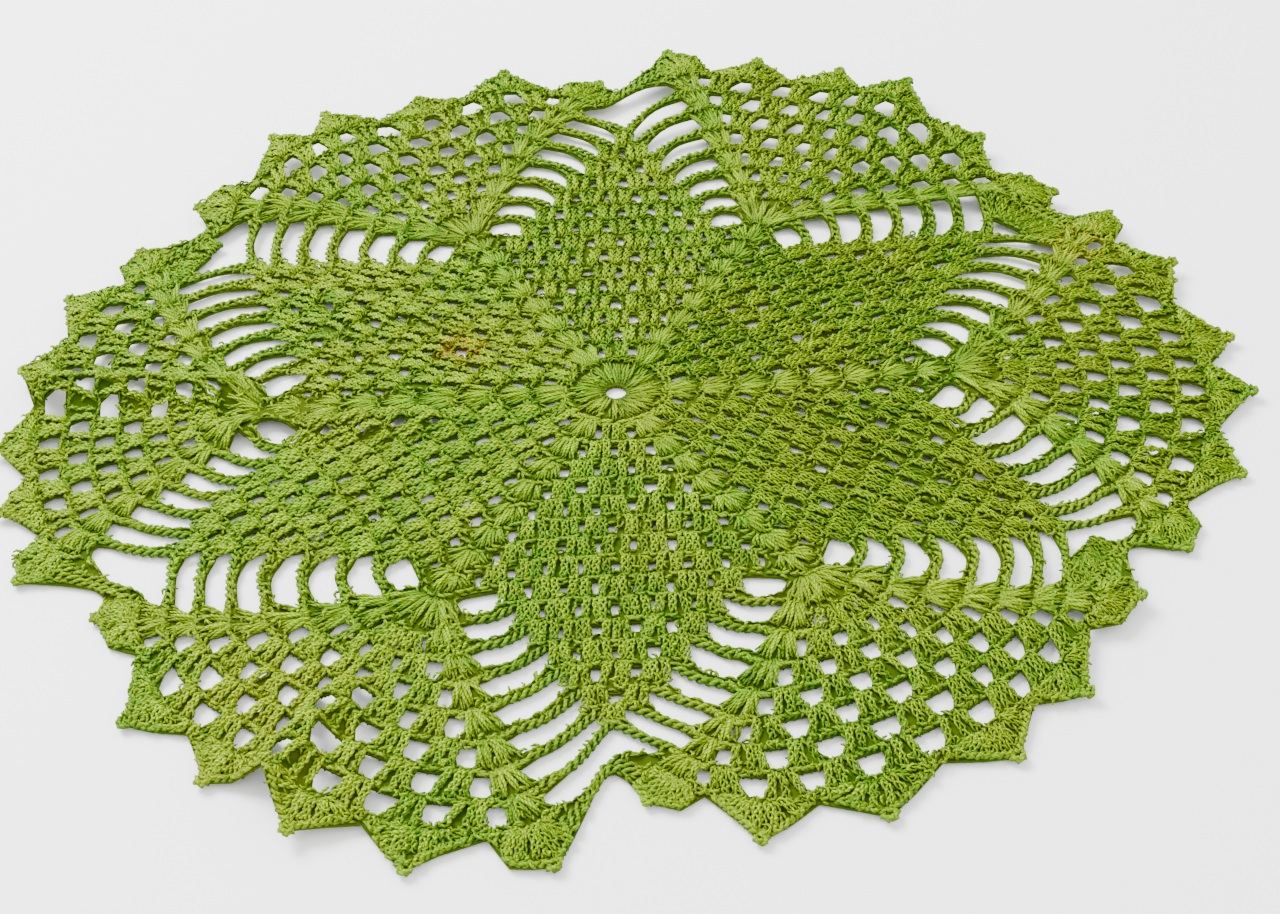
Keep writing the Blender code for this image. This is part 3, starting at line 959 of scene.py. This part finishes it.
def edge_curls(yarn, loop, away, loose):
    """Curls along an edge of the web, on the side of the cloth: away is 1 at a gap, -1 at the rim."""
    if loop_area(loop) < 0:
        away = -away
    for a, b in edges_of(finely(loop, EDGE_APART)):
        length = distance(a, b)
        if length > 0.4 * EDGE_APART:
            off = noise.uniform(0.0003, 0.0010) / length * away
            x, y = between(a, b, noise.uniform(0.2, 0.8))
            x, y = x + (b[1] - a[1]) * off, y - (b[0] - a[0]) * off
            bearing = atan2(b[1] - a[1], b[0] - a[0]) + noise.normal(0, 0.35) * loose
            small_curl(yarn, x, y, bearing, noise.uniform(0.0011, 0.0019), loose)


def along_line(points, t):
    """A point t of the way along a line of points, by length."""
    lengths = [distance(a, b) for a, b in zip(points, points[1:])]
    left = t * sum(lengths)
    for (a, b), length in zip(zip(points, points[1:]), lengths):
        if left <= length:
            return between(a, b, left / length)
        left -= length
    return points[-1]


def toward(point, goal, length):
    """The point moved that far towards the goal."""
    return between(point, goal, length / distance(point, goal))


def rim_shell(yarn, chains, fan, line, foot, count, spread, side=1):
    """A shell of the edging: posts up to its line and the chain along it."""
    tops = [toward(along_line(line, k / (count - 1)), foot, RIM_INSET) for k in range(count)]
    placed = [place(side * x, y, fan) for x, y in tops]
    fan_out(yarn, place(side * foot[0], foot[1], fan), placed, None, spread)
    rope(chains, placed, CHAIN_STEP, CHAIN_HEIGHT)


def picot(yarn, fan, tip, foot, side=1):
    """A small loop of chain at a rim point."""
    out = toward(tip, foot, -0.0012)
    root = toward(tip, foot, 0.0016)
    ax, ay = (out[0] - root[0]) / 0.0028, (out[1] - root[1]) / 0.0028
    loop = []
    for k in range(6):
        a = pi * (0.1 + 1.6 * k / 5 - 0.4)
        s, o = 0.0016 * cos(a), 0.0015 * sin(a)
        loop.append(place(side * (root[0] + 0.0012 * ax + ax * o + ay * s),
                          root[1] + 0.0012 * ay + ay * o - ax * s, fan))
    rope(yarn, loop, 0.001, CHAIN_HEIGHT + 0.0002, 0.0036, 0.00066, 0.00042)


def edging(yarn, chains):
    for fan in FANS:
        for q, n in ((-3, 1), (-1, 2), (1, 3), (3, 4)):
            tip, foot = rim_point(n), above(q, 0)
            line = [above(q - SHELL_REACH, VALLEY_RISE), above(q - FLANK, FLANK_RISE), tip,
                    above(q + FLANK, FLANK_RISE), above(q + SHELL_REACH, VALLEY_RISE)]
            rim_shell(yarn, chains, fan, line, foot, 11, 0.0010)
            picot(yarn, fan, tip, foot)
        for q in (-4, -2, 0, 2, 4):
            x, y = above(q, 0)
            for dx in (-0.0012, 0.0012):
                post(yarn, (x + dx, y - 0.0012), (x + dx * 1.2, y + VALLEY_RISE - 0.0006), fan)
        corner_shells(yarn, chains, fan)


def corner_shells(yarn, chains, fan):
    foot, edge = band_base(MESH_ROUNDS + 1), band_edge(MESH_ROUNDS)
    start = above(4, 0.0020)
    line = [(start[0] + 0.0030, start[1])] + corner_line() + [(edge[0] + 0.0030, edge[1] + 0.0020)]
    for side in (-1, 1):
        rim_shell(yarn, chains, fan, line, foot, 13, 0.0006, side)
        picot(yarn, fan, rim_point(5), foot, side)


# Colours and finishes

LIME = (0.080, 0.206, 0.0, 1)
OLIVE = (0.168, 0.236, 0.0, 1)
# painted shade: the deep green of strands that lie low in the cloth, where shade falls between the
# stitches
PAINTED_SHADE = (0.018, 0.070, 0.0, 1)
# painted highlight: the pale colour on the crowns of the strands
PAINTED_HIGHLIGHT = (0.30, 0.46, 0.0, 1)
PAPER = (0.93, 0.93, 0.925, 1)

# Stains and tints: place in metres, radius, colour and strength
MARKS = (
    ((-0.0490, 0.0180, 0.002), 0.012, (0.25, 0.115, 0.0, 1), 0.75),
    ((0.1480, 0.0520, 0.002), 0.016, (0.34, 0.29, 0.0, 1), 0.55),
    ((-0.0900, -0.1350, 0.002), 0.045, (0.26, 0.29, 0.0, 1), 0.45),
    ((0.1650, 0.0200, 0.002), 0.050, (0.26, 0.30, 0.0, 1), 0.40),
)


COLOUR, NUMBER = "NodeSocketColor", "NodeSocketFloat"


def new_group(name, inputs, outputs):
    """A node group with its two ends."""
    group = bpy.data.node_groups.new(name, "ShaderNodeTree")
    for label, kind, value in inputs:
        group.interface.new_socket(label, in_out="INPUT", socket_type=kind).default_value = value
    for label, kind in outputs:
        group.interface.new_socket(label, in_out="OUTPUT", socket_type=kind)
    return group, group.nodes.new("NodeGroupInput"), group.nodes.new("NodeGroupOutput")


def new_finish(name):
    """A material with its nodes and its shader."""
    material = bpy.data.materials.new(name)
    material.use_nodes = True
    return material, material.node_tree, material.node_tree.nodes["Principled BSDF"]


def wired(tree, node, inputs):
    """Sets the plain values of a node's inputs, links the others to them and returns its outputs."""
    for socket, value in inputs.items():
        if isinstance(value, (int, float, tuple)):
            node.inputs[socket].default_value = value
        else:
            tree.links.new(value, node.inputs[socket])
    return node.outputs


def math(tree, kind, *values):
    node = tree.nodes.new("ShaderNodeMath")
    node.operation = kind
    return wired(tree, node, dict(enumerate(values)))[0]


def blend(tree, share, a, b):
    node = tree.nodes.new("ShaderNodeMix")
    node.data_type = "RGBA"
    return wired(tree, node, {"Factor": share, 6: a, 7: b})[2]


def step_between(tree, value, low, high):
    node = tree.nodes.new("ShaderNodeMapRange")
    node.interpolation_type = "SMOOTHSTEP"
    return wired(tree, node, {"Value": value, "From Min": low, "From Max": high})["Result"]


def on_object(tree):
    return tree.nodes.new("ShaderNodeTexCoord").outputs["Object"]


def cloud(tree, at, scale, detail=2.0):
    node = tree.nodes.new("ShaderNodeTexNoise")
    return wired(tree, node, {"Vector": at, "Scale": scale, "Detail": detail})["Fac"]


def vector_math(tree, kind, inputs):
    node = tree.nodes.new("ShaderNodeVectorMath")
    node.operation = kind
    return wired(tree, node, inputs)


def spot(tree, at, centre, radius):
    """1 at a place on the mat, fading out to 0 at the radius."""
    away = vector_math(tree, "DISTANCE", {0: at, 1: centre})["Value"]
    return step_between(tree, away, radius, radius * 0.35)


def dimmed(tree, colour, share):
    return vector_math(tree, "SCALE", {0: colour, "Scale": share})[0]


def bump(tree, height, strength, distance):
    inputs = {"Height": height, "Strength": strength, "Distance": distance}
    return wired(tree, tree.nodes.new("ShaderNodeBump"), inputs)["Normal"]


def colour_group():
    """How the dye varies over the mat, with its marks."""
    inputs = (("Body", COLOUR, LIME), ("Warm", COLOUR, OLIVE))
    tree, given, out = new_group("dyed_cotton", inputs, (("Color", COLOUR),))
    at = on_object(tree)
    broad = step_between(tree, cloud(tree, at, 26.0, 3.0), 0.38, 0.64)
    fine = step_between(tree, cloud(tree, at, 260.0), 0.38, 0.72)
    colour = given.outputs["Body"]
    for share, strength in ((broad, 0.70), (fine, 0.45)):
        colour = blend(tree, math(tree, "MULTIPLY", share, strength), colour, given.outputs["Warm"])
    for centre, radius, tint, strength in MARKS:
        patchy = math(tree, "MULTIPLY", spot(tree, at, centre, radius),
                      step_between(tree, cloud(tree, at, 330.0), 0.30, 0.62))
        colour = blend(tree, math(tree, "MULTIPLY", patchy, strength), colour, tint)
    wired(tree, out, {"Color": colour})
    return tree


def ply_group():
    """The plies of the cotton wind round each strand: their ridges and the fuzz on them."""
    inputs = (("Plies", NUMBER, 2.0), ("Pitch", NUMBER, 1.35), ("Fuzz", NUMBER, 0.3))
    tree, given, out = new_group("cotton_plies", inputs, (("Height", NUMBER), ("Ridge", NUMBER)))
    uv = tree.nodes.new("ShaderNodeUVMap")
    uv.uv_map = "strand"
    at = wired(tree, tree.nodes.new("ShaderNodeSeparateXYZ"), {0: uv.outputs["UV"]})
    turns = math(tree, "MULTIPLY", at["X"], given.outputs["Plies"])
    length = math(tree, "DIVIDE", at["Y"], given.outputs["Pitch"])
    angle = math(tree, "MULTIPLY", math(tree, "ADD", turns, length), 2 * pi)
    ridge = math(tree, "MULTIPLY_ADD", math(tree, "SINE", angle), 0.5, 0.5)
    fuzz = math(tree, "MULTIPLY", cloud(tree, on_object(tree), 1900.0), given.outputs["Fuzz"])
    wired(tree, out, {"Height": math(tree, "ADD", ridge, fuzz), "Ridge": ridge})
    return tree


def placed_group(tree, group):
    node = tree.nodes.new("ShaderNodeGroup")
    node.node_tree = group
    return node.outputs


def point_value(tree, name):
    """A value that the mesh keeps at each point."""
    node = tree.nodes.new("ShaderNodeAttribute")
    node.attribute_name = name
    return node.outputs["Fac"]


def yarn_finish(dye, plies):
    """Lime cotton, with painted shade and painted highlights: deep green in the recesses, darker in the
    ply grooves, pale on the crowns of the strands.
    """
    material, tree, shader = new_finish("lime_cotton")
    twist = placed_group(tree, plies)
    ridge, rise = twist["Ridge"], point_value(tree, "rise")
    # painted shade: strands low in the cloth turn deep green
    colour = blend(tree, step_between(tree, rise, 0.85, 2.3), PAINTED_SHADE, placed_group(tree, dye)["Color"])
    # painted highlight: the ply ridges high on the strands turn pale
    highlight_share = math(tree, "MULTIPLY", step_between(tree, rise, 2.0, 3.2), ridge)
    colour = blend(tree, math(tree, "MULTIPLY", highlight_share, 0.85), colour, PAINTED_HIGHLIGHT)
    shade = math(tree, "MULTIPLY_ADD", point_value(tree, "tone"), 0.48, 0.72)
    # painted shade: the grooves between the plies are darkened
    groove_shade = math(tree, "MULTIPLY_ADD", ridge, 0.35, 0.72)
    wired(tree, shader, {
        "Base Color": dimmed(tree, colour, math(tree, "MULTIPLY", shade, groove_shade)),
        "Roughness": math(tree, "MULTIPLY_ADD", ridge, -0.12, 0.66),
        "Specular IOR Level": 0.1,
        "Normal": bump(tree, twist["Height"], 0.8, 0.00022),
    })
    return material


def web_finish(dye):
    """The shaded yarn between the stitches."""
    material, tree, shader = new_finish("shaded_yarn")
    fibre = cloud(tree, on_object(tree), 900.0, 3.0)
    wired(tree, shader, {
        # painted shade: the dye dimmed to 0.27, for the yarn in shadow between the stitches
        "Base Color": dimmed(tree, placed_group(tree, dye)["Color"], 0.27),
        "Roughness": math(tree, "MULTIPLY_ADD", fibre, 0.15, 0.80),
        "Specular IOR Level": 0.05,
        "Normal": bump(tree, fibre, 0.7, 0.0004),
    })
    return material


def paper_finish():
    material, tree, shader = new_finish("white_ground")
    mottled = cloud(tree, on_object(tree), 40.0)
    rough = math(tree, "MULTIPLY_ADD", mottled, 0.1, 0.6)
    wired(tree, shader, {"Base Color": PAPER, "Roughness": rough})
    return material


# The mat's pieces

PIECES = ("centre_rounds", "middle_rounds", "star_arms", "chain_bars", "fan_blocks", "fan_bands",
          "fan_chains", "rim_shells", "rim_chains", "net_curls", "edge_curls")
EDGE_LOOSE = {"small": 0.8, "bars": 0.15, "fans": 0.6}  # how loosely curls lie about the gaps


def dress(places, loops):
    """All the stitches, one mesh to a piece."""
    yarns = [Yarn(name) for name in PIECES]
    centre, middle, arms, bars, blocks, bands, fan_chains, rim, rim_chains, net, edges = yarns
    middle_rounds(centre, middle)
    star_arms(arms, bars)
    fan_rounds(blocks, bands, fan_chains)
    lapping_shells(bands)
    edging(rim, rim_chains)
    net_curls(net, places)
    edge_curls(edges, loops["rim"][0], -1, 0.5)
    for kind, loose in EDGE_LOOSE.items():
        for loop in loops[kind]:
            edge_curls(edges, loop, 1, loose)
    return [yarn.build() for yarn in yarns]


def stage():
    bpy.ops.object.select_all(action="DESELECT")
    bpy.ops.mesh.primitive_plane_add(size=4, location=(0, 0, -0.0003))
    floor = bpy.context.active_object
    floor.name = "ground"
    floor.data.materials.append(paper_finish())
    world = bpy.data.worlds.new("studio_room")
    bpy.context.scene.world = world
    world.use_nodes = True
    room = world.node_tree.nodes["Background"]
    room.inputs["Color"].default_value = (1, 1, 1, 1)
    room.inputs["Strength"].default_value = ROOM_LIGHT
    for name, at, size, power in LAMPS:
        lamp = bpy.data.lights.new(name, "AREA")
        lamp.energy, lamp.size = power, size
        holder = put(name, lamp)
        holder.location = at
        holder.rotation_euler = (-Vector(at)).to_track_quat("-Z", "Y").to_euler()


def camera():
    """Where the photograph was taken from, by a fit to the mat's rounds."""
    data = bpy.data.cameras.new("photo_camera")
    data.sensor_width, data.lens = SENSOR, LENS
    holder = put("photo_camera", data)
    target = Vector(LOOK_AT)
    back = Vector((0, -cos(radians(LOOK_DOWN)), sin(radians(LOOK_DOWN))))
    turn = (-back).to_track_quat("-Z", "Y").to_matrix().to_4x4()
    roll = Matrix.Rotation(-radians(LOOK_ROLL), 4, "Z")
    holder.matrix_world = Matrix.Translation(target + back * LOOK_FROM) @ (turn @ roll)
    bpy.context.scene.camera = holder


web, net_area, curl_places, web_loops = build_web()
stitched = dress(curl_places, web_loops)
dye = colour_group()
cotton = yarn_finish(dye, ply_group())
web.data.materials.clear()
web.data.materials.append(web_finish(dye))
for piece in stitched:
    piece.data.materials.append(cotton)
for piece in [web] + stitched:
    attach(piece, "root")
    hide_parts("mat")
stage()
camera()
